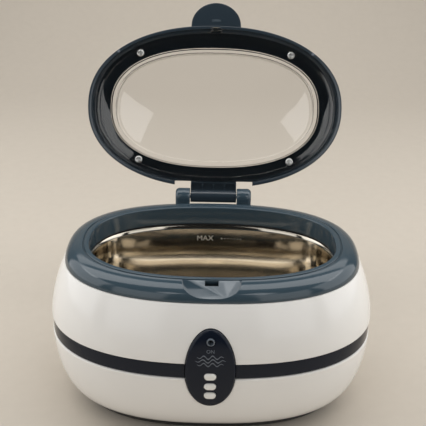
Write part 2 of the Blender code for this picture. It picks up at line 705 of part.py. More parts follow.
def make_leads(red, black, brown, blue, grey, parent):
    live = [(20.6, 0, 25.1), (23, 0, 25), (24, 0.5, 21), (24, 0.8, 16.9)]
    make_lead("transducer_lead_live", live, 0.7, red, parent)
    back = [(11.7, -11.7, 13.5), (14.5, -13, 16), (19.5, -12.5, 19.5), (23.4, -10.5, 19)]
    back.append((24.3, -9.0, 17.0))
    make_lead("transducer_lead_return", back, 0.7, black, parent)
    mains = [(4.35, 54.2, 40), (4.6, 52.0, 38), (8, 46, 30), (20, 32, 22)]
    mains += [(24.5, 22, 18.4), (24.0, 17.0, 17.2)]
    make_lead("mains_lead_live", mains, 0.9, brown, parent)
    neutral = [(-4.35, 54.2, 40), (-4.2, 51.5, 37.5), (0, 46, 27), (14, 32, 20)]
    neutral += [(21.5, 20, 18.6), (22.8, 13.0, 17.5)]
    make_lead("mains_lead_neutral", neutral, 0.9, blue, parent)
    signal = [(6, -59.0, 42), (8, -56.5, 38), (14, -48, 26), (26, -34, 20)]
    signal += [(38, -24.5, 19), (48, -20.0, 17.6)]
    make_lead("control_lead", signal, 1.3, grey, parent)


def main():
    clear_scene()
    bpy.context.scene.unit_settings.scale_length = 1.0
    white = finish("white_abs", "ECEBE7", 0.22)
    slate = finish("slate_abs", "3A4A54", 0.3)
    gloss = finish("black_gloss_abs", "171A20", 0.12)
    dark = finish("black_abs", "1A1D22", 0.35)
    clear = finish("clear_polycarbonate", "EEF2F2", 0.05, clear=0.95)
    steel = finish("stainless_steel", "C8C4BC", 0.12, 1.0)
    plated = finish("plated_steel", "B9B9B6", 0.3, 1.0)
    rubber = finish("black_rubber", "222222", 0.8)
    cleaner = empty("cleaner", (0, BODY_SHIFT_Y, 0))
    lid = empty("lid_hinge_axis", (0, HINGE_Y, HINGE_Z), cleaner, -LID_SWING)
    make_base(dark, rubber, plated, cleaner)
    make_lower_housing(white, cleaner)
    make_band(gloss, cleaner)
    make_upper_housing(white, cleaner)
    make_collar(slate, cleaner)
    make_tank(steel, rubber, cleaner)
    make_lid(slate, clear, plated, rubber, lid)
    make_hinge_pin(plated, cleaner)
    make_panel(gloss, cleaner)
    make_keys(finish("key_abs", "E9E8E4", 0.3), dark, plated, cleaner)
    lens, led = finish("smoked_lens", "565D66", 0.2), finish("led_epoxy", "101216", 0.2)
    make_indicator(lens, led, cleaner)
    green = finish("circuit_board", "2E5A3C", 0.5)
    make_control_board(green, cleaner)
    alloy = finish("cast_aluminium", "B4B6B8", 0.4, 1.0)
    ceramic = finish("piezo_ceramic", "D8D2C4", 0.6)
    copper = finish("enamelled_copper", "9A4B22", 0.4, 0.6)
    brass = finish("brass_sheet", "B08D4A", 0.3, 1.0)
    make_transducer(alloy, ceramic, brass, plated, cleaner)
    can = finish("capacitor_sleeve", "1E2A4A", 0.4)
    film = finish("film_capacitor_case", "8A2A20", 0.4)
    core = finish("ferrite", "2B2B2D", 0.6)
    glass = finish("fuse_glass", "D5DAD8", 0.1, clear=0.8)
    make_driver(green, core, copper, alloy, dark, can, film, glass, cleaner)
    make_inlet(dark, plated, cleaner)
    red = finish("red_insulation", "A82020", 0.5)
    brown = finish("brown_insulation", "5A3420", 0.5)
    blue = finish("blue_insulation", "2A4A90", 0.5)
    grey = finish("grey_insulation", "8A8C8E", 0.5)
    make_leads(red, dark, brown, blue, grey, cleaner)


main()
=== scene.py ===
import json
import math

import bmesh
import bpy
from mathutils import Matrix, Vector


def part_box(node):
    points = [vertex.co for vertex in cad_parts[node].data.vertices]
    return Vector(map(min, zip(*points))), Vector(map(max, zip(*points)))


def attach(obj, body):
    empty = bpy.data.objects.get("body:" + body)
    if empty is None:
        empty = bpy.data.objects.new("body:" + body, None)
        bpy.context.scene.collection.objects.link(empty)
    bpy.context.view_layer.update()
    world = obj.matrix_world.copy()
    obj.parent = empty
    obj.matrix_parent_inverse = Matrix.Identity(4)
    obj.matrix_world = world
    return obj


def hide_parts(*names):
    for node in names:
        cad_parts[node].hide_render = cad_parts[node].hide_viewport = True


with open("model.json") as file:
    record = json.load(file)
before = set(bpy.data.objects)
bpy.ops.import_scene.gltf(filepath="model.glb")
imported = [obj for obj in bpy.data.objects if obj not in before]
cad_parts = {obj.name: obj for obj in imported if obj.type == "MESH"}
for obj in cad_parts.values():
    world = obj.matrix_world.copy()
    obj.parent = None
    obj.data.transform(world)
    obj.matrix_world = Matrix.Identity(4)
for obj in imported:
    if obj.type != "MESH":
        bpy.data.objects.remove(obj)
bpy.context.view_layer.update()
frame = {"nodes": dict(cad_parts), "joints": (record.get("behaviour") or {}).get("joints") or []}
print("frame loaded:", len(frame["nodes"]), "parts")

mm = 0.001
joints = {joint["name"]: joint for joint in frame["joints"]}
tankLow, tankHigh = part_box("tank")
middleY = (tankLow.y + tankHigh.y) / 2      # middle of the oval body
hinge = Vector(joints["lid_hinge"]["pos_m"])
hingeReach = (hinge.y - middleY) / mm       # from the middle of the body back to the hinge
swing = math.radians(joints["lid_hinge"]["range_deg"][1])
openLid = Matrix.Translation(hinge) @ Matrix.Rotation(-swing, 4, "X")
corners = {"left_front": (-1, -1), "right_front": (1, -1), "left_rear": (-1, 1), "right_rear": (1, 1)}


# The stand, the floor and the light come first, because they settle what the finishes look like.
studio = {
    "aimZ": 128.1,          # height on the body's middle line that the camera looks at
    "distance": 560.0,
    "elevation": 25.6,
    "roll": 1.0,
    "lens": 75.27,
    "sweepWidth": 4200.0,
    "sweepFront": -1500.0,
    "sweepBack": 1000.0,
    "sweepRadius": 420.0,
    "sweepHeight": 1500.0,
    "world": ("9A9A98", 0.05),
}

# A light tent: pairs of soft panels at the sides, overhead, in front and behind, with a dark gap round
# the camera. Each has its middle, what it faces, its width and height, and how bright it is.
tent = {
    "side": ((650, 0, 300), (0, 0, 120), 800, 560, 1.5),
    "top": ((350, 60, 760), (60, 0, 60), 480, 760, 2.6),
    "front": ((330, -520, 230), (0, 0, 100), 360, 430, 1.05),
    "back": ((340, 620, 680), (340, 680, 0), 660, 380, 1.45),
}

# Two square lamps level with the camera's lens: how far across and up from it, size, turn and brightness.
cornerLights = {
    "left": (-142, 128, 95, 58, 2.6),
    "right": (178, 131, 128, 43.6, 2.6),
}


def linearColour(code):
    channels = [int(code[k : k + 2], 16) / 255 for k in (0, 2, 4)]
    return [c / 12.92 if c <= 0.04045 else ((c + 0.055) / 1.055) ** 2.4 for c in channels] + [1.0]


def addNode(tree, kind, settings=None, links=None):
    node = tree.nodes.new(kind)
    for key, value in (settings or {}).items():
        if key in node.inputs:
            node.inputs[key].default_value = value
        else:
            setattr(node, key, value)
    for key, source in (links or {}).items():
        tree.links.new(source, node.inputs[key])
    return node


def perMetre(size):
    return 1 / (size * mm)      # a pattern's scale from the real size of its features in mm


# Starts a finish: its shader, with the constant values set on it, and the object's own coordinates.
def startFinish(name, settings):
    material = bpy.data.materials.new(name)
    material.use_nodes = True
    tree = material.node_tree
    shader = tree.nodes["Principled BSDF"]
    for key, value in settings.items():
        shader.inputs[key].default_value = value
    place = addNode(tree, "ShaderNodeTexCoord").outputs["Object"]
    return material, tree, shader, place


# Moulded plastic: a broad, faint shift of tone as the melt cooled, fine scuffs in the gloss and a slight
# waviness of the surface. These make its reflections swim a little instead of being mirror straight.
def mouldedPlastic(name, colour, roughness, shift=0.06, wave=0.02, waveSize=2.4, scuff=0.05, shine=0.5):
    settings = {"IOR": 1.53, "Specular IOR Level": shine}
    material, tree, shader, place = startFinish(name, settings)
    base = linearColour(colour)
    darker = [channel * (1 - shift) for channel in base[:3]] + [1.0]
    tone = addNode(tree, "ShaderNodeTexNoise", {"Scale": perMetre(45), "Detail": 2.0}, {"Vector": place})
    colours = addNode(tree, "ShaderNodeMix", {"data_type": "RGBA"}, {"Factor": tone.outputs["Fac"]})
    colours.inputs["A"].default_value = darker
    colours.inputs["B"].default_value = base
    tree.links.new(colours.outputs["Result"], shader.inputs["Base Color"])
    return finishSurface(material, tree, shader, place, roughness, scuff, wave, waveSize)


# Adds the gloss variation and the fine relief that every finish has.
def finishSurface(material, tree, shader, place, roughness, scuff, wave, waveSize, stretch=(1, 1, 1)):
    turned = addNode(tree, "ShaderNodeMapping", {"Scale": stretch}, {"Vector": place})
    along = {"Vector": turned.outputs[0]}
    scuffs = {"Scale": perMetre(3.5), "Detail": 5.0, "Roughness": 0.65}
    rub = addNode(tree, "ShaderNodeTexNoise", scuffs, along)
    gloss = addNode(
        tree,
        "ShaderNodeMapRange",
        {"From Min": 0.3, "From Max": 0.75, "To Min": roughness, "To Max": roughness + scuff},
        {"Value": rub.outputs["Fac"]},
    )
    tree.links.new(gloss.outputs["Result"], shader.inputs["Roughness"])
    relief = addNode(tree, "ShaderNodeTexNoise", {"Scale": perMetre(waveSize), "Detail": 2.0}, along)
    height = {"Height": relief.outputs["Fac"]}
    bump = addNode(tree, "ShaderNodeBump", {"Strength": wave, "Distance": mm}, height)
    tree.links.new(bump.outputs["Normal"], shader.inputs["Normal"])
    return material


# Sheet or turned metal: its drawing or turning lines run one way, as long thin streaks in gloss and relief.
def workedMetal(name, colour, roughness, stretch=(1, 1, 0.06), lineSize=0.6, scuff=0.12, wave=0.05):
    material, tree, shader, place = startFinish(name, {"Metallic": 1.0})
    base = linearColour(colour)
    darker = [channel * 0.9 for channel in base[:3]] + [1.0]     # the darkest the rolled sheet gets
    tone = addNode(tree, "ShaderNodeTexNoise", {"Scale": perMetre(25), "Detail": 3.0}, {"Vector": place})
    colours = addNode(tree, "ShaderNodeMix", {"data_type": "RGBA"}, {"Factor": tone.outputs["Fac"]})
    colours.inputs["A"].default_value = darker
    colours.inputs["B"].default_value = base
    tree.links.new(colours.outputs["Result"], shader.inputs["Base Color"])
    return finishSurface(material, tree, shader, place, roughness, scuff, wave, lineSize, stretch)


# Clear moulded plastic: almost no colour of its own, a little edge tint and hairline scuffs in the gloss.
def clearPlastic(name, colour, roughness, ior):
    settings = {"Transmission Weight": 1.0, "IOR": ior, "Base Color": linearColour(colour)}
    material, tree, shader, place = startFinish(name, settings)
    return finishSurface(material, tree, shader, place, roughness, 0.02, 0.004, 6.0)


# Grainy matter such as ferrite, fired ceramic or rubber: a speckle in the tone and a dull, dry relief.
def grainyBody(name, colours, roughness, grain, relief):
    material, tree, shader, place = startFinish(name, {})
    grains = {"Scale": perMetre(grain), "Detail": 4.0}
    speckle = addNode(tree, "ShaderNodeTexNoise", grains, {"Vector": place})
    mixed = addNode(tree, "ShaderNodeMix", {"data_type": "RGBA"}, {"Factor": speckle.outputs["Fac"]})
    mixed.inputs["A"].default_value = linearColour(colours[0])
    mixed.inputs["B"].default_value = linearColour(colours[1])
    tree.links.new(mixed.outputs["Result"], shader.inputs["Base Color"])
    return finishSurface(material, tree, shader, place, roughness, 0.1, relief, grain)


# Wound wire: round turns side by side, which show as fine ridges with dark lines between them. The ridges are
# real relief, but the dark lines and lighter middles of the turns are painted shade and painted highlight in
# the colour.
def woundWireWithPaintedShade(name, colours, roughness, pitch):
    material, tree, shader, place = startFinish(name, {"Metallic": 0.55})
    turnRidgesAndPaintedShade = addNode(
        tree,
        "ShaderNodeTexWave",
        {"bands_direction": "Z", "Scale": perMetre(pitch) / 20, "Distortion": 0.4, "Detail": 1.0},
        {"Vector": place},
    )
    # The bands mix a dark and a light copper across each turn: painted shade in the grooves and painted
    # highlight on the ridges.
    mixed = addNode(tree, "ShaderNodeMix", {"data_type": "RGBA"}, {"Factor": turnRidgesAndPaintedShade.outputs["Fac"]})
    mixed.inputs["A"].default_value = linearColour(colours[0])
    mixed.inputs["B"].default_value = linearColour(colours[1])
    tree.links.new(mixed.outputs["Result"], shader.inputs["Base Color"])
    height = {"Height": turnRidgesAndPaintedShade.outputs["Fac"]}
    bump = addNode(tree, "ShaderNodeBump", {"Strength": 0.6, "Distance": 0.3 * mm}, height)
    tree.links.new(bump.outputs["Normal"], shader.inputs["Normal"])
    shader.inputs["Roughness"].default_value = roughness
    return material


# Laminate board under solder resist: copper tracks show through as slightly lighter cells.
def laminateBoard(name, colours, roughness):
    material, tree, shader, place = startFinish(name, {"Coat Weight": 0.3})
    cells = addNode(
        tree, "ShaderNodeTexVoronoi", {"Scale": perMetre(3.0), "distance": "CHEBYCHEV"}, {"Vector": place}
    )
    mixed = addNode(tree, "ShaderNodeMix", {"data_type": "RGBA"}, {"Factor": cells.outputs["Distance"]})
    mixed.inputs["A"].default_value = linearColour(colours[0])
    mixed.inputs["B"].default_value = linearColour(colours[1])
    tree.links.new(mixed.outputs["Result"], shader.inputs["Base Color"])
    return finishSurface(material, tree, shader, place, roughness, 0.1, 0.1, 1.5)


whiteShell = mouldedPlastic("whiteGlossAbs", "F1EFEB", 0.13, shift=0.03, wave=0.012, waveSize=5.0, scuff=0.05)
slateShell = mouldedPlastic("slateMouldedAbs", "3B4B55", 0.1, shift=0.1, wave=0.01, waveSize=4.5)
lidShell = mouldedPlastic("slateLidAbs", "2A343C", 0.13, shift=0.1, wave=0.02, waveSize=3.5, scuff=0.06)
blackGloss = mouldedPlastic("blackGlossAbs", "171D29", 0.07, shift=0.15, wave=0.008, waveSize=6.0, shine=0.2)
blackBase = mouldedPlastic("blackTexturedAbs", "191B1F", 0.42, shift=0.15, wave=0.25, waveSize=0.8, scuff=0.15)
keyWhite = mouldedPlastic("whiteKeyAbs", "F0EFEA", 0.16, shift=0.02, wave=0.01, scuff=0.05)
lensSmoke = mouldedPlastic("smokedRingPlastic", "5E6670", 0.2, shift=0.05, wave=0.01)
steelTank = workedMetal("drawnStainlessSteel", "D2CABC", 0.07, lineSize=0.9, scuff=0.05, wave=0.015)
zincSteel = workedMetal("zincPlatedSteel", "C9C9C6", 0.22, stretch=(1, 1, 0.3), lineSize=0.4)
clearWindow = clearPlastic("clearPolycarbonate", "FEFEFE", 0.01, 1.5)
rubberFoot = grainyBody("mouldedRubber", ("1B1B1C", "2A2A2B"), 0.75, 0.7, 0.25)
print("main finishes made")


# Rounds the corners of a section: a point with a third value gets an arc of that radius.
def roundCorners(section, closed=True, steps=5):
    smooth = []
    for k, point in enumerate(section):
        radius = point[2] if len(point) > 2 else 0
        openEnd = not closed and k in (0, len(section) - 1)
        if not radius or openEnd:
            smooth.append((point[0], point[1]))
            continue
        here = Vector(point[:2])
        before = Vector(section[k - 1][:2]) - here
        after = Vector(section[(k + 1) % len(section)][:2]) - here
        half = before.angle(after) / 2
        reach = min(radius / math.tan(half), before.length * 0.48, after.length * 0.48)
        start = here + before.normalized() * reach
        end = here + after.normalized() * reach
        for j in range(steps + 1):
            t = j / steps
            spot = start * (1 - t) ** 2 + here * 2 * t * (1 - t) + end * t * t
            smooth.append((spot.x, spot.y))
    return smooth


# Takes a circle of points and draws it through the section: one ring of edges for each section point.
def sweepRing(section, place, sides=192, closed=True):
    mesh = bmesh.new()
    bmesh.ops.create_circle(mesh, segments=sides, radius=1.0)
    turn = mesh.verts.layers.float.new("turn")
    for vert in mesh.verts:
        vert[turn] = math.atan2(vert.co.y, vert.co.x)
        vert.co = place(vert[turn], *section[0])
    edges = mesh.edges[:]
    for point in section[1:] + (section[:1] if closed else []):
        made = bmesh.ops.extrude_edge_only(mesh, edges=edges)["geom"]
        edges = [part for part in made if isinstance(part, bmesh.types.BMEdge) and part.is_boundary]
        for vert in [part for part in made if isinstance(part, bmesh.types.BMVert)]:
            vert.co = place(vert[turn], *point)
    bmesh.ops.remove_doubles(mesh, verts=mesh.verts, dist=1e-6)
    bmesh.ops.recalc_face_normals(mesh, faces=mesh.faces)
    return mesh


def toObject(name, mesh):
    bmesh.ops.recalc_face_normals(mesh, faces=mesh.faces)
    data = bpy.data.meshes.new(name)
    mesh.to_mesh(data)
    mesh.free()
    piece = bpy.data.objects.new(name, data)
    bpy.context.scene.collection.objects.link(piece)
    return piece


# Cuts a tool from a piece, or joins it on, and keeps the result as the piece's own mesh.
def carve(piece, tools, operation="DIFFERENCE"):
    for tool in tools:
        cutter = toObject("tool", tool)
        boolean = piece.modifiers.new("carve", "BOOLEAN")
        boolean.operation = operation
        boolean.solver = "EXACT"
        boolean.object = cutter
        graph = bpy.context.evaluated_depsgraph_get()
        result = bpy.data.meshes.new_from_object(piece.evaluated_get(graph))
        piece.modifiers.clear()
        piece.data = result
        bpy.data.objects.remove(cutter)


# Breaks the sharp edges that pass the test, as a mould's edges are broken.
def breakEdges(piece, width, test, steps=2):
    mesh = bmesh.new()
    mesh.from_mesh(piece.data)
    bmesh.ops.remove_doubles(mesh, verts=mesh.verts, dist=0.004 * mm)
    bmesh.ops.dissolve_degenerate(mesh, edges=mesh.edges, dist=0.004 * mm)
    sharp = [
        edge
        for edge in mesh.edges
        if len(edge.link_faces) == 2
        and edge.calc_face_angle(0) > math.radians(40)
        and all(test(vert.co) for vert in edge.verts)
    ]
    bmesh.ops.bevel(
        mesh,
        geom=sharp,
        offset=width * mm,
        offset_type="OFFSET",
        affect="EDGES",
        segments=steps,
        profile=0.5,
        material=-1,
        clamp_overlap=True,
    )
    mesh.to_mesh(piece.data)
    mesh.free()


def finishPiece(piece, material, body, replaced=(), crease=32):
    piece.data.materials.clear()
    piece.data.materials.append(material)
    piece.data.shade_smooth()
    piece.data.set_sharp_from_angle(angle=math.radians(crease))
    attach(piece, body)
    if replaced:
        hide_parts(*replaced)
    return piece


# The body is a stack of rounded ovals; each is half as deep as it is long, less one step.
bodyOval = {
    "step": 30.66,
    "power": 2.42,
    "widest": (103.5, 61.6),        # half length and height of the widest line
    "skirt": (80.0, 6.9, 2.24),     # half length, height and fullness where the bowl turns in
    "shoulder": (10.0, 99.9, 1.91), # draw-in, height and fullness at the collar
}


def ovalPoint(turn, halfX, halfY, power):
    across = math.cos(turn)
    deep = math.sin(turn)
    reach = (abs(across / halfX) ** power + abs(deep / halfY) ** power) ** (-1 / power)
    return reach * across, reach * deep


def bodyPoint(turn, halfX, z, share=1.0):
    x, y = ovalPoint(turn, halfX, halfX - bodyOval["step"], bodyOval["power"])
    return Vector((x * share, y * share, z)) * mm + Vector((0, middleY, 0))


def halfLength(z):
    widest, widestZ = bodyOval["widest"]
    if z > widestZ:
        drop, shoulderZ, power = bodyOval["shoulder"]
        return widest - drop * ((z - widestZ) / (shoulderZ - widestZ)) ** power
    skirt, skirtZ, power = bodyOval["skirt"]
    depth = min((widestZ - z) / (widestZ - skirtZ), 1.0)
    return skirt + (widest - skirt) * (1 - depth**power) ** (1 / power)


# Y of the body's front at a place across and up, moved out by lift, all in mm.
def frontY(x, z, lift=0.0):
    halfX = halfLength(z)
    share = 1 - abs(x / halfX) ** bodyOval["power"]
    return middleY / mm - (halfX - bodyOval["step"]) * share ** (1 / bodyOval["power"]) - lift


def innerLine(outer, wall):
    inner = []
    for k, (halfX, z) in enumerate(outer):
        before = Vector(outer[max(k - 1, 0)])
        after = Vector(outer[min(k + 1, len(outer) - 1)])
        run = (after - before).normalized()
        inner.append((halfX - run.y * wall, z + run.x * wall))
    return inner


panel = {
    "halfX": 15.0,
    "middleZ": 59.5,
    "up": 26.9,
    "down": 26.6,
    "gap": 0.35,
    "back": -62.5,
    "front": [(0.7, 1.5), (0.85, 1.46), (0.91, 1.42), (0.945, 1.36)],
    "frontEdge": [(0.968, 1.22), (0.982, 0.95), (0.985, 0.55)],
}


def eggXZ(turn, share, grow=0.0):
    halfZ = panel["up"] if math.sin(turn) > 0 else panel["down"]
    x = (panel["halfX"] * share + grow) * math.cos(turn)
    return x, panel["middleZ"] + (halfZ * share + grow) * math.sin(turn)


def eggHole():
    def place(turn, y):
        x, z = eggXZ(turn, 1.0, panel["gap"])
        return Vector((x, y, z)) * mm

    tool = sweepRing([(-130.0,), (-80.0,)], place, sides=96, closed=False)
    bmesh.ops.holes_fill(tool, edges=tool.edges, sides=0)
    return tool


def pillPoint(turn, halfX, halfZ):
    shift = math.copysign(halfX - halfZ, math.cos(turn)) if abs(math.cos(turn)) > 1e-6 else 0
    return shift + halfZ * math.cos(turn), halfZ * math.sin(turn)


def pillTool(halfX, halfZ, z, near, far):
    def place(turn, y):
        x, up = pillPoint(turn, halfX, halfZ)
        return Vector((x, y, z + up)) * mm

    tool = sweepRing([(near,), (far,)], place, sides=48, closed=False)
    bmesh.ops.holes_fill(tool, edges=tool.edges, sides=0)
    return tool


def barTool(radius, start, end, sides=48):
    start = Vector(start) * mm
    along = Vector(end) * mm - start
    facing = along.to_track_quat("Z", "Y").to_matrix().to_4x4()
    tool = bmesh.new()
    bmesh.ops.create_cone(
        tool,
        cap_ends=True,
        segments=sides,
        radius1=radius * mm,
        radius2=radius * mm,
        depth=along.length,
        matrix=Matrix.Translation(start + along / 2) @ facing,
    )
    return tool


def blockTool(low, high, broken=0.0):
    low = Vector(low) * mm
    size = Vector(high) * mm - low
    tool = bmesh.new()
    place = Matrix.Translation(low + size / 2) @ Matrix.Diagonal((*size, 1.0))
    bmesh.ops.create_cube(tool, size=1.0, matrix=place)
    if broken:
        bmesh.ops.bevel(
            tool,
            geom=tool.edges[:],
            offset=broken * mm,
            offset_type="OFFSET",
            affect="EDGES",
            segments=3,
            profile=0.5,
            material=-1,
        )
    return tool


# The lid's barrel turns on a pin that runs through the collar's ears.
pivot = {
    "bore": 1.75,
    "boreReach": 40.0,      # half length of the tool that cuts the bore
    "barrel": 4.25,
    "barrelHalf": 15.9,
}


# Both housing halves are open at the front for the panel, and the lower one at the back for the mains inlet.
housing = {
    "wall": 2.4,
    "lower": (10.0, 53.6),
    "upper": (64.1, 99.6),
    "lowerTurns": (6.66, 67.0),     # degrees round the bowl's side curve
    "lowerRings": 24,
    "upperRings": 14,
    "edge": 0.55,
    "lowerEdge": 1.6,
    "inletZ": 40.0,
    "shift": middleY / mm,
}


def nearEgg(point):
    return point.y < middleY - 55 * mm and abs(point.x) < 17 * mm


def makeLowerShell():
    widest, widestZ = bodyOval["widest"]
    skirt, skirtZ, power = bodyOval["skirt"]
    low, high = (math.radians(angle) for angle in housing["lowerTurns"])
    count = housing["lowerRings"]
    outer = []
    for k in range(count + 1):
        angle = high + (low - high) * k / count
        z = widestZ - (widestZ - skirtZ) * math.sin(angle) ** (2 / power)
        outer.append((halfLength(z), z))
    bottom, top = housing["lower"]
    outer[-1] = (halfLength(top), top)
    inner = [point for point in innerLine(outer, housing["wall"])[:-1] if point[1] > 12.5]
    inner.append((outer[-1][0] - housing["wall"], top))
    ledge = [(66.0, 12.4), (66.0, bottom)]
    foot = [(halfLength(bottom) - 1.0, bottom, 0.5)]
    outer[-1] = (*outer[-1], housing["lowerEdge"])
    section = roundCorners(foot + outer + inner[::-1] + ledge)
    shell = toObject("lowerShell", sweepRing(section, bodyPoint))
    carve(shell, [eggHole()])
    mouth = pillTool(11.35, 7.85, housing["inletZ"], 60.0 + housing["shift"], 80.0 + housing["shift"])
    carve(shell, [mouth])
    breakEdges(shell, 0.3, nearEgg)
    return finishPiece(shell, whiteShell, "cleaner_body", ["lower_housing"])


def makeUpperShell():
    bottom, top = housing["upper"]
    count = housing["upperRings"]
    heights = [bottom + (top - bottom) * k / count for k in range(count + 1)]
    outer = [(halfLength(z), z) for z in heights]
    inner = innerLine(outer, housing["wall"])
    inner[0] = (inner[0][0], bottom)
    inner[-1] = (inner[-1][0], top)
    outer[0] = (*outer[0], housing["edge"])
    outer[-1] = (*outer[-1], housing["edge"])
    section = roundCorners(outer + inner[::-1])
    shell = toObject("upperShell", sweepRing(section, bodyPoint))
    carve(shell, [eggHole()])
    breakEdges(shell, 0.3, nearEgg)
    return finishPiece(shell, whiteShell, "cleaner_body", ["upper_housing"])


def makeBand():
    face = [(102.9, 54.0, 0.5), (102.9, 63.7, 0.5), (100.5, 63.7), (100.5, 67.0)]
    tongue = [(98.7, 67.0), (98.7, 50.6), (100.5, 50.6), (100.5, 54.0)]
    band = toObject("bandRing", sweepRing(roundCorners(face + tongue), bodyPoint))
    carve(band, [eggHole()])
    return finishPiece(band, blackGloss, "cleaner_body", ["band_ring"])


makeLowerShell()
makeUpperShell()
makeBand()
print("housing shells and band made")


base = {
    "outside": [(81.8, 3.0, 0.8), (84.4, 3.6, 1.5), (86.0, 6.2, 1.5), (86.6, 9.7, 0.5)],
    "inside": [(81.0, 9.7, 0.3), (81.0, 6.7, 0.3)],
    "ventX": (12.0, 17.0, 22.0, 27.0),
    "ventY": (-34.0, -20.0),
    "screw": (62.0, 22.0),
    "foot": (46.0, 30.0),
    "treadRings": 3,
}


def makeBase():
    outer = roundCorners([(70.0, 3.0)] + base["outside"] + base["inside"] + [(70.0, 6.7)], closed=False)
    section = [(70.0, 3.0, 0.0)] + [(halfX, z, 1.0) for halfX, z in outer] + [(70.0, 6.7, 0.0)]
    plate = toObject("baseTray", sweepRing(section, bodyPoint, closed=False))
    low, high = (y + housing["shift"] for y in base["ventY"])
    tools = []
    for x in base["ventX"]:
        for side in (-1, 1):
            middle = side * x
            tools.append(blockTool((middle - 1.2, low, 0), (middle + 1.2, high, 10)))
    for sideX, sideY in corners.values():
        x = sideX * base["screw"][0]
        y = sideY * base["screw"][1] + housing["shift"]
        tools.append(barTool(3.9, (x, y, 0), (x, y, 4.9)))
        x = sideX * base["foot"][0]
        y = sideY * base["foot"][1] + housing["shift"]
        tools.append(barTool(2.3, (x, y, 0), (x, y, 10)))
    carve(plate, tools)
    return finishPiece(plate, blackBase, "cleaner_body", ["base_plate"])


# A round piece turned about an upright line through (x, y).
def turnedAt(x, y):
    def place(turn, radius, z):
        return Vector((x + radius * math.cos(turn), y + radius * math.sin(turn), z)) * mm

    return place


def makeFeet():
    for corner, (sideX, sideY) in corners.items():
        x = sideX * base["foot"][0]
        y = sideY * base["foot"][1] + housing["shift"]
        tread = [(0.0, 0.35)]
        for k in range(base["treadRings"]):
            start = 1.2 + 1.35 * k
            tread += [(start, 0.35), (start + 0.2, 0.0), (start + 0.75, 0.0), (start + 0.95, 0.35)]
        rim = [(5.3, 0.05), (5.9, 0.35), (6.3, 0.95), (6.45, 1.8), (6.5, 2.7)]
        stem = [(2.2, 2.7), (2.2, 6.4), (0.0, 6.4)]
        turned = sweepRing(tread + rim + stem, turnedAt(x, y), sides=48, closed=False)
        foot = toObject("rubberFoot_" + corner, turned)
        finishPiece(foot, rubberFoot, "cleaner_body", ["foot_" + corner])


makeBase()
makeFeet()
print("base and feet made")


# Drawn tank: a flat floor, a wide bottom curve, a slightly tapered wall and a rolled rim.
def makeTank():
    inner = [(62.0, 43.5, 6.0), (72.0, 45.6, 8.0), (76.3, 51.5, 9.0), (77.5, 93.0)]
    rim = [(78.6, 95.5, 1.0), (81.2, 95.5, 0.3), (81.2, 94.7), (79.1, 94.7, 0.6)]
    outer = [(78.3, 93.0), (77.1, 51.3, 8.0), (72.5, 44.9, 7.0), (62.0, 42.7)]
    section = roundCorners(inner + rim + outer, closed=False, steps=7)
    section = [(62.0, 43.6, 0.0), (62.0, 43.55, 0.5)] + section + [(62.0, 42.8, 0.5), (62.0, 42.8, 0.0)]
    bowl = toObject("drawnTank", sweepRing(section, bodyPoint, closed=False))
    return finishPiece(bowl, steelTank, "cleaner_body", ["tank"], crease=50)


makeTank()


collar = {
    "steep": [(93.5, 99.9, 0.35), (93.38, 101.0), (93.0, 102.6), (92.4, 104.0), (91.45, 105.4)],
    "shoulder": [(90.1, 106.7), (88.4, 107.8), (86.4, 108.6), (84.3, 109.1)],
    "groove": [(82.4, 109.25, 0.4), (82.1, 108.5, 0.2), (81.5, 108.5, 0.2)],
    "lip": [(81.3, 109.3, 0.5), (78.3, 109.3, 0.9), (78.3, 97.0, 0.4), (80.4, 97.0)],
    "under": [(80.4, 106.4), (86.2, 105.7), (89.2, 103.2), (88.3, 100.6)],
    "spigot": [(88.3, 94.0), (90.2, 94.0), (90.2, 99.9)],
    "earX": (16.3, 26.3),
    "earRadius": 5.7,
    "earFoot": (0.2, -10.85, -1.7),
    "slot": (4.0, -54.6, -51.0),
}


def earTool(side):
    near, far = (side * x for x in collar["earX"])
    start = Vector((0, hingeReach, hinge.z / mm))
    heel, flat, toe = collar["earFoot"]

    # The round top about the pin, then a foot that tucks under the collar's shoulder.
    def place(turn, x, less):
        radius = collar["earRadius"] - less
        y = radius * math.cos(turn)
        z = radius * math.sin(turn)
        if math.sin(turn) < -0.2:
            z = flat + max(0.0, 1.1 * (y - heel), 0.5 * (toe - y), 2.8 * (y - 3.3) + 3.4)
        return Vector((x, start.y + y + housing["shift"], start.z + z)) * mm

    section = [(near, 0.5), (near + side * 0.35, 0.12), (near + side * 0.7, 0.0), (far - side * 2.6, 0.0)]
    section += [(far - side * 1.7, 0.2), (far - side * 0.9, 0.7), (far - side * 0.3, 1.3), (far, 2.0)]
    tool = sweepRing(section, place, sides=72, closed=False)
    bmesh.ops.holes_fill(tool, edges=tool.edges, sides=0)
    return tool


def makeCollar():
    lines = [collar[part] for part in ("steep", "shoulder", "groove", "lip", "under", "spigot")]
    section = roundCorners(sum(lines, []))
    ring = toObject("collarRing", sweepRing(section, bodyPoint))
    carve(ring, [earTool(-1), earTool(1)], "UNION")
    y, z = hinge.y / mm, hinge.z / mm
    reach = pivot["boreReach"]
    carve(ring, [barTool(pivot["bore"], (-reach, y, z), (reach, y, z), 40)])
    carve(ring, [recessTool()])
    halfX, near, far = collar["slot"]
    shift = housing["shift"]
    carve(ring, [blockTool((-halfX, near + shift, 96), (halfX, far + shift, 120))])
    breakEdges(ring, 0.25, lambda point: point.y < middleY and abs(point.x) < 20 * mm and point.z > 99 * mm)
    return finishPiece(ring, slateShell, "cleaner_body", ["collar"])


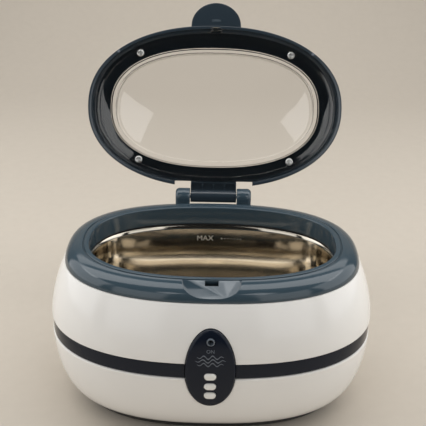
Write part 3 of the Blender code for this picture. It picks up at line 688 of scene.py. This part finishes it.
# Shallow bowl-shaped pocket for the lid's tab; its floor climbs from the shoulder to the slot.
def recessTool():
    low = Vector((0, -62.4, 101.4))
    up = (Vector((0, -51.2, 108.3)) - low).normalized()
    out = Vector((0, -up.z, up.y))

    def place(turn, lift, share):
        across = math.cos(turn)
        along = math.sin(turn)
        x = 17.6 * math.copysign(abs(across) ** 0.7, across)
        w = 13.4 - 12.6 * abs(along) ** 0.8 if along < 0 else 13.4 + 0.6 * along
        spot = low + up * w + out * lift + Vector((x * share, housing["shift"], 0))
        return spot * mm

    tool = sweepRing([(0.6, 0.97), (0.72, 0.99), (1.0, 1.0), (9.0, 1.0)], place, sides=96, closed=False)
    bmesh.ops.holes_fill(tool, edges=tool.edges, sides=0)
    return tool


makeCollar()
print("tank and collar made")


lidOval = {
    "halfX": 88.9,
    "step": 32.1,
    "taper": 0.05,
    "power": 2.2,
    "gain": 0.0115,
    "edge": [(86.3, -0.4, 0.5), (88.9, -0.4, 0.8), (88.9, 3.6, 1.4), (88.0, 5.6, 1.2), (85.5, 6.8, 1.5)],
    "crown": [(80.0, 8.0, 3.0), (73.6, 8.5, 0.5), (73.6, 5.0), (84.4, 5.0), (86.3, 3.4)],
    "tab": (17.4, 16.2),
    "ribPitch": 7.7,
    "screw": (53.0, 37.5),
    "bumper": (67.9, -37.6),
}


def lidPoint(turn, halfX, z, share=1.0):
    inward = lidOval["halfX"] - halfX
    halfY = halfX - lidOval["step"] + lidOval["taper"] * inward
    x, y = ovalPoint(turn, halfX, halfY, lidOval["power"] + lidOval["gain"] * inward)
    return openLid @ (Vector((x * share, y * share - hingeReach, z)) * mm)


# Moves a tool that was made for the closed lid, about the hinge, to the open lid.
def onLid(tool):
    bmesh.ops.transform(tool, matrix=openLid, verts=tool.verts)
    return tool


def tabTool():
    rimY = -hingeReach - (lidOval["halfX"] - lidOval["step"])
    halfX, reach = lidOval["tab"]

    def place(turn, z, less):
        down = math.sin(turn)
        x = (halfX - less) * math.cos(turn)
        y = rimY - (reach - less) * down if down > 0 else rimY + 1.5
        return openLid @ (Vector((x, y, z)) * mm)

    section = [(0.2, 0.9), (0.35, 0.35), (0.8, 0.0), (2.8, 0.0), (3.3, 0.25), (3.6, 0.9)]
    tool = sweepRing(section, place, sides=96, closed=False)
    bmesh.ops.holes_fill(tool, edges=tool.edges, sides=0)
    return tool


def makeLidFrame():
    section = roundCorners(lidOval["edge"] + lidOval["crown"])
    lid = toObject("lidFrame", sweepRing(section, lidPoint))
    half, reach = pivot["barrelHalf"], pivot["boreReach"]
    carve(lid, [tabTool(), onLid(blockTool((-half, -9.6, 0.0), (half, -1.5, 5.0)))], "UNION")
    pitch = lidOval["ribPitch"]
    for k in range(-2, 2):
        left, right = k * pitch + 0.5, (k + 1) * pitch - 0.5
        carve(lid, [onLid(blockTool((left, -9.1, -5.0), (right, -4.6, 2.0)))])
    carve(lid, [onLid(barTool(pivot["barrel"], (-half, 0, 0), (half, 0, 0), 64))], "UNION")
    tools = []
    for side in (-1, 1):
        near, far = sorted((side * half, side * 27.2))
        tools.append(onLid(blockTool((near, -10.7, -20), (far, 20, 20))))
    tools.append(onLid(barTool(pivot["bore"], (-reach, 0, 0), (reach, 0, 0), 40)))
    for sideX, sideY in corners.values():
        x, y = sideX * lidOval["screw"][0], sideY * lidOval["screw"][1] - hingeReach
        tools.append(onLid(barTool(1.5, (x, y, 1.0), (x, y, 6.9), 32)))
    carve(lid, tools)
    return finishPiece(lid, lidShell, "lid", ["lid_frame"])


window = {
    "paneIn": (66.2, 9.0, 9.3),     # edge half length, edge height and middle height of the inner skin
    "paneOut": (70.4, 11.0, 11.3),
    "rings": 8,
    "wallIn": [(69.3, 9.0, 3.0), (69.5, 6.0), (69.6, 2.9, 0.5)],
    "flange": [(80.5, 2.9, 0.5), (81.0, 2.2, 0.3), (83.6, 2.2, 0.5), (83.6, 4.7, 0.2)],
    "wallOut": [(73.1, 4.7), (73.1, 8.0), (73.1, 11.0, 2.6)],
    "hookEdge": 0.3,
}


def paneRings(settings):
    halfX, edgeZ, middleZ = settings
    shares = [k / window["rings"] for k in range(window["rings"] + 1)]
    return [(halfX, middleZ - (middleZ - edgeZ) * share**2, share) for share in shares]


# One clear moulding: a flat pane, an upstand round the opening and a flange that is screwed to the frame.
def makeWindow():
    inside = paneRings(window["paneIn"])
    outside = paneRings(window["paneOut"])[::-1]
    lines = window["wallIn"] + window["flange"] + window["wallOut"]
    between = [inside[-1][:2], *lines, outside[0][:2]]
    wall = [(*point, 1.0) for point in roundCorners(between, closed=False)]
    pane = toObject("lidWindow", sweepRing(inside[:-1] + wall + outside[1:], lidPoint, closed=False))
    edge = -hingeReach
    broken = window["hookEdge"]
    plate = onLid(blockTool((-5.0, edge - 53.3, 2.6), (5.0, edge - 49.4, 3.8), broken))
    blade = onLid(blockTool((-3.5, edge - 53.2, -7.4), (3.5, edge - 51.6, 3.4), broken))
    barb = onLid(blockTool((-3.5, edge - 54.0, -7.8), (3.5, edge - 51.5, -6.7), broken))
    carve(pane, [plate, blade, barb], "UNION")
    tools = []
    for sideX, sideY in corners.values():
        x, y = sideX * lidOval["screw"][0], sideY * lidOval["screw"][1] - hingeReach
        tools.append(onLid(barTool(3.0, (x, y, 1.0), (x, y, 3.9), 40)))
        tools.append(onLid(barTool(1.5, (x, y, 2.0), (x, y, 6.9), 32)))
    carve(pane, tools)
    return finishPiece(pane, clearWindow, "lid", ["lid_window"], crease=28)


# Small pan-head screw with a cross recess, head towards the inside of the lid.
def makeLidScrews():
    for corner, (sideX, sideY) in corners.items():
        x, y = sideX * lidOval["screw"][0], sideY * lidOval["screw"][1] - hingeReach

        def place(turn, radius, z):
            return openLid @ (Vector((x + radius * math.cos(turn), y + radius * math.sin(turn), z)) * mm)

        section = [(0.0, 2.38), (1.0, 2.4), (1.9, 2.55), (2.4, 2.85), (2.6, 3.2), (2.6, 3.6)]
        section += [(1.2, 3.6), (1.2, 6.5), (0.0, 6.5)]
        screw = toObject("lidScrew_" + corner, sweepRing(section, place, sides=36, closed=False))
        cross = []
        for long, wide in ((1.5, 0.32), (0.32, 1.5)):
            cross.append(onLid(blockTool((x - long, y - wide, 1.0), (x + long, y + wide, 3.2))))
        carve(screw, cross)
        finishPiece(screw, zincSteel, "lid", ["lid_screw_" + corner])


def makeBumpers():
    for side, word in ((-1, "left"), (1, "right")):
        x, y = side * lidOval["bumper"][0], lidOval["bumper"][1] - hingeReach

        def place(turn, radius, z):
            return openLid @ (Vector((x + radius * math.cos(turn), y + radius * math.sin(turn), z)) * mm)

        section = [(0.0, -1.5), (0.4, -1.48), (0.75, -1.35), (1.0, -1.1), (1.0, -0.4), (0.0, -0.4)]
        pip = toObject("lidBumper_" + word, sweepRing(section, place, sides=24, closed=False))
        finishPiece(pip, lensSmoke, "lid", ["lid_bumper_" + word])


makeLidFrame()
makeWindow()
makeLidScrews()
makeBumpers()
print("lid made")


keys = {
    "names": ("on", "timer", "off"),
    "heights": (56.6, 49.4, 42.5),
    "halfX": 3.6,
    "halfZ": 2.35,
    "proud": 0.9,
    "lift": 1.5,
    "gap": 0.3,
    "lampZ": 79.2,
}


def makePanel():
    def place(turn, share, lift):
        x, z = eggXZ(turn, share)
        y = panel["back"] + housing["shift"] if lift is None else frontY(x, z, lift)
        return Vector((x, y, z)) * mm

    section = [(0.0, 1.5), (0.2, 1.5), (0.45, 1.5)] + panel["front"] + panel["frontEdge"]
    section += [(1.0, 0.2), (1.0, None), (0.9, None), (0.9, -0.7), (0.45, -0.7), (0.0, -0.7)]
    cover = toObject("panelCover", sweepRing(section, place, sides=160, closed=False))
    near, far = -130.0, -66.0 + housing["shift"]
    halfX, halfZ = keys["halfX"] + keys["gap"], keys["halfZ"] + keys["gap"]
    tools = [pillTool(halfX, halfZ, z, near, far) for z in keys["heights"]]
    tools.append(barTool(2.8, (0, near, keys["lampZ"]), (0, far, keys["lampZ"])))
    carve(cover, tools)
    return finishPiece(cover, blackGloss, "cleaner_body", ["panel_cover"])


def makeKeys():
    face = [(0.0, 0.0), (0.25, 0.01), (0.45, 0.06), (0.62, 0.14), (0.76, 0.25), (0.87, 0.4), (0.95, 0.6)]
    section = face + [(1.0, 0.95), (1.0, 3.2), (0.0, 3.2)]
    for name, height in zip(keys["names"], keys["heights"]):
        front = frontY(0, height, keys["lift"] + keys["proud"])

        def place(turn, share, back):
            less = (1 - share) * keys["halfZ"]
            x, up = pillPoint(turn, keys["halfX"] - less, keys["halfZ"] - less)
            if share == 0:
                x, up = 0.0, 0.0
            return Vector((x, front + back, height + up)) * mm

        cap = toObject("keyCap_" + name, sweepRing(section, place, sides=64, closed=False))
        finishPiece(cap, keyWhite, "key_" + name, ["key_" + name], crease=60)


makePanel()
makeKeys()
print("panel and keys made")


# A round piece turned about a line that points to the front, at the height z.
def turnedFront(z):
    def place(turn, radius, y):
        return Vector((radius * math.cos(turn), y, z + radius * math.sin(turn))) * mm

    return place


def makeLamp():
    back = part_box("indicator_lens")[1].y / mm
    front = frontY(0, keys["lampZ"], keys["lift"] + 0.35)
    section = [(1.65, front + 0.45), (1.75, front + 0.12), (1.92, front), (2.22, front), (2.42, front + 0.12)]
    section += [(2.5, front + 0.45), (2.5, back), (1.65, back)]
    ring = toObject("lampRing", sweepRing(section, turnedFront(keys["lampZ"]), sides=64))
    finishPiece(ring, lensSmoke, "cleaner_body", ["indicator_lens"])
    ledLow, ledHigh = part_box("indicator_led")
    tip, end = ledLow.y / mm, ledHigh.y / mm
    dome = [(0.0, tip), (0.55, tip + 0.08), (1.0, tip + 0.35), (1.3, tip + 0.75), (1.45, tip + 1.3)]
    dome += [(1.45, end), (0.0, end)]
    led = toObject("lampLed", sweepRing(dome, turnedFront(keys["lampZ"]), sides=32, closed=False))
    finishPiece(led, ledEpoxy, "cleaner_body", ["indicator_led"])


inlet = {
    "z": 40.0,
    "halfX": 11.0,
    "halfZ": 7.5,
    "well": (8.0, 3.9, 61.0),
    "pinX": 4.35,
    "pinRadius": 1.2,
    "section": ((0.0, 73.2), (0.9, 73.2), (0.93, 73.9), (0.97, 73.9), (1.0, 73.5), (1.0, 57.0), (0.0, 57.0)),
}


def makeInlet():
    shift = housing["shift"]

    def place(turn, share, y):
        x, up = pillPoint(turn, inlet["halfX"], inlet["halfZ"])
        return Vector((x * share, y + shift, inlet["z"] + up * share)) * mm

    block = toObject("mainsInlet", sweepRing(list(inlet["section"]), place, sides=64, closed=False))
    halfX, halfZ, floor = inlet["well"]
    tools = [pillTool(halfX, halfZ, inlet["z"], floor + shift, 90.0 + shift)]
    carve(block, tools)
    finishPiece(block, blackInlet, "cleaner_body", ["inlet_housing"])
    for side, word in ((-1, "left"), (1, "right")):
        pinLow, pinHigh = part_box("inlet_pin_" + word)
        start, end = pinLow.y / mm, pinHigh.y / mm

        def pinPlace(turn, radius, y):
            x = side * inlet["pinX"] + radius * math.cos(turn)
            return Vector((x, y, inlet["z"] + radius * math.sin(turn))) * mm

        radius = inlet["pinRadius"]
        tip = [(radius - 0.15, end - 0.35), (radius - 0.5, end - 0.08), (0.0, end)]
        section = [(0.0, start), (radius, start), (radius, end - 0.9)] + tip
        pin = toObject("inletPin_" + word, sweepRing(section, pinPlace, sides=32, closed=False))
        finishPiece(pin, platedPin, "cleaner_body", ["inlet_pin_" + word])


def makeHingePin():
    low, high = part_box("hinge_pin")
    start, end, y, z = low.x / mm, high.x / mm, hinge.y / mm, hinge.z / mm

    def place(turn, radius, x):
        return Vector((x, y + radius * math.cos(turn), z + radius * math.sin(turn))) * mm

    section = [(0.0, start), (1.1, start + 0.05), (1.5, start + 0.45)]
    section += [(1.5, end - 0.45), (1.1, end - 0.05), (0.0, end)]
    pin = toObject("hingePin", sweepRing(section, place, sides=40, closed=False))
    finishPiece(pin, zincSteel, "cleaner_body", ["hinge_pin"])


# Small printed and etched marks: a ripple sign on the panel and plain words where a cleaner has them.
marks = {
    "ink": 0.06,            # thickness of a printed mark, a little more than real ink
    "ripples": {"halfX": 9.0, "pitch": 2.4, "wave": 1.1, "waves": 3, "line": 0.36, "z": 67.6},
    "lampWord": {"text": "ON", "size": 3.1, "z": 73.6},
    "tabWord": {"text": "OPEN", "size": 2.3},
    "fillWord": {"text": "MAX", "size": 5.4, "z": 86.2, "x": -5.2},
}


def wrapFront(mesh, lift):
    for vert in mesh.verts:
        x, z = vert.co.x / mm, vert.co.z / mm
        vert.co.y = frontY(x, z, lift + vert.co.y / mm) * mm


def makeRipples():
    sign = marks["ripples"]
    mesh = bmesh.new()
    for row in (sign["pitch"], 0.0, -sign["pitch"]):
        made = bmesh.ops.create_grid(mesh, x_segments=72, y_segments=1, size=1.0)["verts"]
        for vert in made:
            along, across = vert.co.x, vert.co.y
            taper = 1 - 0.75 * abs(along) ** 3
            rise = sign["wave"] * math.sin(math.pi * sign["waves"] * along) * taper
            x = sign["halfX"] * (1 - 0.12 * abs(row) / sign["pitch"]) * along
            z = sign["z"] + row + rise + sign["line"] * taper * across
            vert.co = Vector((x, 0, z)) * mm
    bmesh.ops.solidify(mesh, geom=mesh.faces, thickness=marks["ink"] * mm)
    wrapFront(mesh, keys["lift"])
    sign = toObject("rippleSign", mesh)
    finishPiece(sign, printInk, "cleaner_body")


# A word as a thin solid standing upright in the XZ plane, its middle on the origin.
def wordMesh(text, size, thick):
    curve = bpy.data.curves.new("word", "FONT")
    curve.body = text
    curve.size = size * mm
    curve.align_x = "CENTER"
    curve.align_y = "CENTER"
    curve.extrude = thick * mm / 2
    curve.resolution_u = 3
    holder = bpy.data.objects.new("word", curve)
    bpy.context.scene.collection.objects.link(holder)
    graph = bpy.context.evaluated_depsgraph_get()
    data = bpy.data.meshes.new_from_object(holder.evaluated_get(graph))
    bpy.data.objects.remove(holder)
    mesh = bmesh.new()
    mesh.from_mesh(data)
    bmesh.ops.remove_doubles(mesh, verts=mesh.verts, dist=1e-7)
    bmesh.ops.rotate(mesh, verts=mesh.verts, matrix=Matrix.Rotation(math.radians(90), 3, "X"))
    return mesh


def makeWords():
    word = marks["lampWord"]
    mesh = wordMesh(word["text"], word["size"], marks["ink"])
    bmesh.ops.translate(mesh, vec=Vector((0, 0, word["z"])) * mm, verts=mesh.verts)
    wrapFront(mesh, keys["lift"])
    finishPiece(toObject("lampWord", mesh), printInk, "cleaner_body")

    word = marks["tabWord"]
    mesh = wordMesh(word["text"], word["size"], marks["ink"])
    bmesh.ops.rotate(mesh, verts=mesh.verts, matrix=Matrix.Rotation(math.radians(-90), 3, "X"))
    bmesh.ops.rotate(mesh, verts=mesh.verts, matrix=Matrix.Rotation(math.radians(180), 3, "X"))
    middle = -hingeReach - (lidOval["halfX"] - lidOval["step"]) - 3.6
    bmesh.ops.translate(mesh, vec=Vector((0, middle, 0.18)) * mm, verts=mesh.verts)
    finishPiece(toObject("tabWord", onLid(mesh)), tabInk, "lid")

    word = marks["fillWord"]
    mesh = wordMesh(word["text"], word["size"], marks["ink"])
    for k in range(7):
        radius = (0.55 if k == 0 else 0.3) * mm
        upright = Matrix.Rotation(math.radians(90), 4, "X")
        bmesh.ops.create_cone(
            mesh,
            cap_ends=True,
            segments=12,
            radius1=radius,
            radius2=radius,
            depth=marks["ink"] * mm,
            matrix=Matrix.Translation(Vector((11.5 + 2.2 * k, 0, 0)) * mm) @ upright,
        )
    bmesh.ops.translate(mesh, vec=Vector((word["x"], 0, word["z"])) * mm, verts=mesh.verts)
    for vert in mesh.verts:
        x, z = vert.co.x / mm, vert.co.z / mm
        halfX = 76.3 + 1.2 * (z - 51.5) / 41.5
        share = 1 - abs(x / halfX) ** bodyOval["power"]
        wallY = (halfX - bodyOval["step"]) * share ** (1 / bodyOval["power"])
        vert.co.y = middleY + (wallY - 0.03) * mm + vert.co.y
    finishPiece(toObject("fillMark", mesh), etchedMark, "cleaner_body")


ledEpoxy = mouldedPlastic("tintedLedEpoxy", "101216", 0.12, shift=0.1, wave=0.01)
blackInlet = mouldedPlastic("blackInletAbs", "17191D", 0.35, shift=0.15, wave=0.15, waveSize=0.9, scuff=0.12)
printInk = mouldedPlastic("screenPrintInk", "6A717B", 0.45, shift=0.12, wave=0.05, waveSize=0.6)
tabInk = mouldedPlastic("raisedSlateLettering", "5A666F", 0.35, shift=0.1, wave=0.05, waveSize=0.6)
etchedMark = workedMetal("etchedSteelMark", "E9E6DF", 0.5, lineSize=0.4, scuff=0.1)
platedPin = workedMetal("nickelPlatedBrass", "D8D4C8", 0.18, lineSize=0.4)
makeLamp()
makeInlet()
makeHingePin()
makeRipples()
makeWords()
print("lamp, inlet, pin and marks made")


# Parts inside the housing keep their CAD shapes; each gets the finish of what it is.
blackWire = mouldedPlastic("blackSiliconeInsulation", "1C1C1E", 0.45, wave=0.05, waveSize=1.2)
redWire = mouldedPlastic("redSiliconeInsulation", "A82020", 0.45, wave=0.05, waveSize=1.2)
brownWire = mouldedPlastic("brownPvcInsulation", "5A3420", 0.4, wave=0.05, waveSize=1.2)
blueWire = mouldedPlastic("bluePvcInsulation", "2A4A90", 0.4, wave=0.05, waveSize=1.2)
greyWire = mouldedPlastic("greyPvcJacket", "8A8C8E", 0.4, wave=0.05, waveSize=1.2)
capSleeve = mouldedPlastic("shrunkPvcSleeve", "1E2A4A", 0.3, wave=0.08, waveSize=2.0)
filmCase = mouldedPlastic("dippedEpoxyCase", "8A2A20", 0.3, wave=0.12, waveSize=1.6)
switchCase = workedMetal("pressedSwitchCase", "B9B9B6", 0.3, lineSize=0.4)
castMass = workedMetal("turnedAluminium", "B4B6B8", 0.28, stretch=(0.1, 0.1, 1), lineSize=0.5, wave=0.12)
turnedSteel = workedMetal("turnedSteel", "A9A9A7", 0.25, stretch=(0.1, 0.1, 1), lineSize=0.4, wave=0.1)
brassPlate = workedMetal("rolledBrass", "B9924C", 0.25, stretch=(0.08, 1, 1), lineSize=0.5, wave=0.06)
firedCeramic = grainyBody("firedPiezoCeramic", ("CFC7B5", "E0DACB"), 0.55, 0.4, 0.12)
ferriteCore = grainyBody("sinteredFerrite", ("232325", "353538"), 0.55, 0.35, 0.2)
solderResist = laminateBoard("greenSolderResist", ("24502F", "3C7350"), 0.35)
# Copper is the wire's own colour; its dark and light copper bands across the turns are painted shade and
# painted highlight.
windingWire = woundWireWithPaintedShade("enamelledCopperWire", ("6E2F14", "C06A35"), 0.3, 0.5)
fuseTube = clearPlastic("drawnGlassTube", "E4EAE8", 0.03, 1.5)
insideFinishes = {
    "tank_gasket": rubberFoot,
    "control_board": solderResist,
    "driver_board": solderResist,
    "transformer_core": ferriteCore,
    "transformer_winding": windingWire,
    "heat_sink": castMass,
    "front_mass": castMass,
    "tail_mass": turnedSteel,
    "clamping_bolt": turnedSteel,
    "electrode_plate": brassPlate,
    "piezo_ring_upper": firedCeramic,
    "piezo_ring_lower": firedCeramic,
    "power_transistor": blackInlet,
    "bulk_capacitor": capSleeve,
    "film_capacitor": filmCase,
    "fuse": fuseTube,
    "transducer_lead_live": redWire,
    "transducer_lead_return": blackWire,
    "mains_lead_live": brownWire,
    "mains_lead_neutral": blueWire,
    "control_lead": greyWire,
}
for name in keys["names"]:
    insideFinishes["tact_switch_" + name] = switchCase
    insideFinishes["switch_plunger_" + name] = blackInlet
for corner in corners:
    insideFinishes["case_screw_" + corner] = zincSteel
for name, material in insideFinishes.items():
    data = frame["nodes"][name].data
    data.materials.clear()
    data.materials.append(material)
print("inside parts finished:", len(insideFinishes))


# A pale paper sweep: a floor that curves up into a backdrop, with the faint mottle of matt paper.
def makeSweep():
    sweepPaper = grainyBody("mattPaper", ("C4BBAE", "CAC1B4"), 0.9, 9.0, 0.05)
    radius, back = studio["sweepRadius"], studio["sweepBack"]
    spots = [(studio["sweepFront"], 0.0), (back - radius, 0.0)]
    for k in range(1, 17):
        turn = math.radians(90 * k / 16)
        spots.append((back - radius + radius * math.sin(turn), radius - radius * math.cos(turn)))
    spots.append((back, studio["sweepHeight"]))
    mesh = bmesh.new()
    half = studio["sweepWidth"] / 2
    ends = [mesh.verts.new(Vector((side * half, *spots[0])) * mm) for side in (-1, 1)]
    edges = [mesh.edges.new(ends)]
    for before, after in zip(spots, spots[1:]):
        made = bmesh.ops.extrude_edge_only(mesh, edges=edges)["geom"]
        verts = [part for part in made if isinstance(part, bmesh.types.BMVert)]
        step = Vector((0, after[0] - before[0], after[1] - before[1])) * mm
        bmesh.ops.translate(mesh, vec=step, verts=verts)
        lines = [part for part in made if isinstance(part, bmesh.types.BMEdge)]
        edges = [line for line in lines if set(line.verts) == set(verts)]
    data = bpy.data.meshes.new("paperSweep")
    mesh.to_mesh(data)
    mesh.free()
    data.materials.append(sweepPaper)
    data.shade_smooth()
    sweep = bpy.data.objects.new("paperSweep", data)
    bpy.context.scene.collection.objects.link(sweep)


def areaLight(name, place, facing, width, height, glow):
    data = bpy.data.lights.new(name, "AREA")
    data.shape = "RECTANGLE"
    data.size = width * mm
    data.size_y = height * mm
    data.energy = glow * math.pi * data.size * data.size_y
    light = bpy.data.objects.new(name, data)
    light.matrix_world = Matrix.Translation(Vector(place) * mm) @ facing
    light.visible_camera = False
    light.visible_transmission = False
    bpy.context.scene.collection.objects.link(light)


def facingFrom(place, target):
    return (Vector(target) - Vector(place)).to_track_quat("-Z", "Y").to_matrix().to_4x4()


def makeLights(camera):
    for name, (place, target, width, height, glow) in tent.items():
        for side, word in ((-1, "left"), (1, "right")):
            spot = (side * place[0], place[1], place[2])
            aim = (side * target[0], target[1], target[2])
            areaLight(name + "Panel_" + word, spot, facingFrom(spot, aim), width, height, glow)
    for word, (across, up, size, turn, glow) in cornerLights.items():
        spot = camera.matrix_world @ (Vector((across, up, 0)) * mm)
        facing = camera.matrix_world.to_3x3().to_4x4() @ Matrix.Rotation(math.radians(turn), 4, "Z")
        areaLight("cornerLight_" + word, spot / mm, facing, size, size, glow)
    world = bpy.data.worlds.new("studioRoom")
    bpy.context.scene.world = world
    world.use_nodes = True
    room = world.node_tree.nodes["Background"]
    room.inputs["Color"].default_value = linearColour(studio["world"][0])
    room.inputs["Strength"].default_value = studio["world"][1]


def makeCamera():
    data = bpy.data.cameras.new("camera")
    data.lens = studio["lens"]
    data.sensor_width = 36.0
    data.clip_start = 0.01
    data.clip_end = 20.0
    camera = bpy.data.objects.new("camera", data)
    bpy.context.scene.collection.objects.link(camera)
    tilt = math.radians(studio["elevation"])
    away = studio["distance"]
    aim = Vector((0, housing["shift"], studio["aimZ"]))
    spot = aim + Vector((0, -away * math.cos(tilt), away * math.sin(tilt)))
    facing = (aim - spot).to_track_quat("-Z", "Y").to_matrix().to_4x4()
    roll = Matrix.Rotation(math.radians(studio["roll"]), 4, "Z")
    camera.matrix_world = Matrix.Translation(spot * mm) @ facing @ roll
    bpy.context.scene.camera = camera
    return camera


makeSweep()
makeLights(makeCamera())
bpy.context.scene.view_settings.view_transform = "Standard"
print("stage, lights and camera made")
